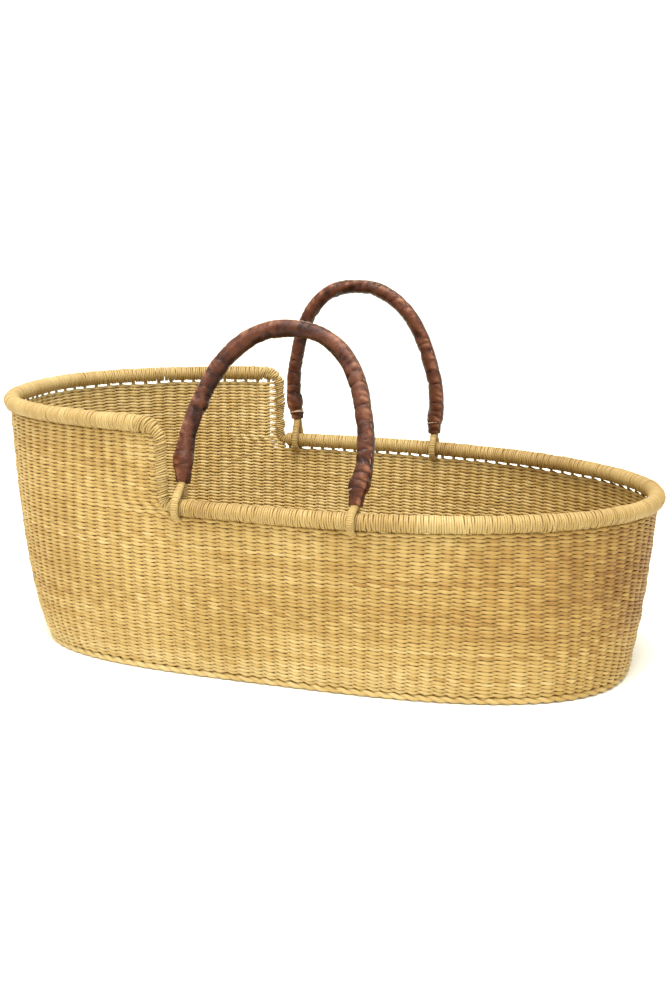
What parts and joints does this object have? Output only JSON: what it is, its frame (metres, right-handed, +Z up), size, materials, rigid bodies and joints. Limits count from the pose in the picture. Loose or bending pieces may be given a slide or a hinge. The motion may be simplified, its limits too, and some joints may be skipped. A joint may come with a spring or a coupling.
{
  "type": "moses basket",
  "caption": "Woven straw moses basket with a high head end, stepped rim, openwork row under the rim and swinging leather-covered carry handles.",
  "frame": {"origin": "on the underside of the base, half way along the outer length of the rims and on the centre line of the wall", "axes": "+X from the head end to the foot end, +Y to the back side, +Z up; the front side faces -Y"},
  "size_m": [0.8393, 0.457, 0.4408],
  "materials": {
    "woven_base": "matt woven straw, darker and warmer than the outside",
    "braid": "matt twisted straw",
    "woven_wall": "matt twined straw",
    "stakes": "matt bare straw stakes over one woven row",
    "grass_core": "dry grass bundle, hidden",
    "rim_straw": "satin flat straw, closely wound",
    "step_straw": "satin flat straw, closely wound, thinner roll",
    "leather": "dark brown leather, half gloss, creased across",
    "thread": "pale waxed thread",
    "loop_straw": "satin flat straw, wound over grass"
  },
  "bodies": {
    "basket": {"base_panel": "woven_base", "base_edge_braid": "braid", "woven_wall": "woven_wall", "head_stake_row": "stakes", "foot_stake_row": "stakes", "rim_core": "grass_core", "head_rim_wrap": "rim_straw", "foot_rim_wrap": "rim_straw", "front_step_wrap": "step_straw", "back_step_wrap": "step_straw"},
    "front_handle": {"front_handle_core": "grass_core", "front_handle_leather_sleeve": "leather", "front_handle_seam_lacing": "thread", "front_handle_left_binding": "thread", "front_handle_right_binding": "thread", "front_handle_left_rim_loop": "loop_straw", "front_handle_right_rim_loop": "loop_straw"},
    "back_handle": {"back_handle_core": "grass_core", "back_handle_leather_sleeve": "leather", "back_handle_seam_lacing": "thread", "back_handle_left_binding": "thread", "back_handle_right_binding": "thread", "back_handle_left_rim_loop": "loop_straw", "back_handle_right_rim_loop": "loop_straw"}
  },
  "joints": [
    {"name": "front_handle_swing", "type": "hinge", "parent": "basket", "child": "front_handle", "pos_m": [-0.00396, -0.20485, 0.2118], "axis": [-1, -0.0034, 0], "range_deg": [-116.8, 33.2]},
    {"name": "back_handle_swing", "type": "hinge", "parent": "basket", "child": "back_handle", "pos_m": [-0.00606, 0.20513, 0.2118], "axis": [1, -0.0013, 0], "range_deg": [-84.7, 65.3]}
  ]
}
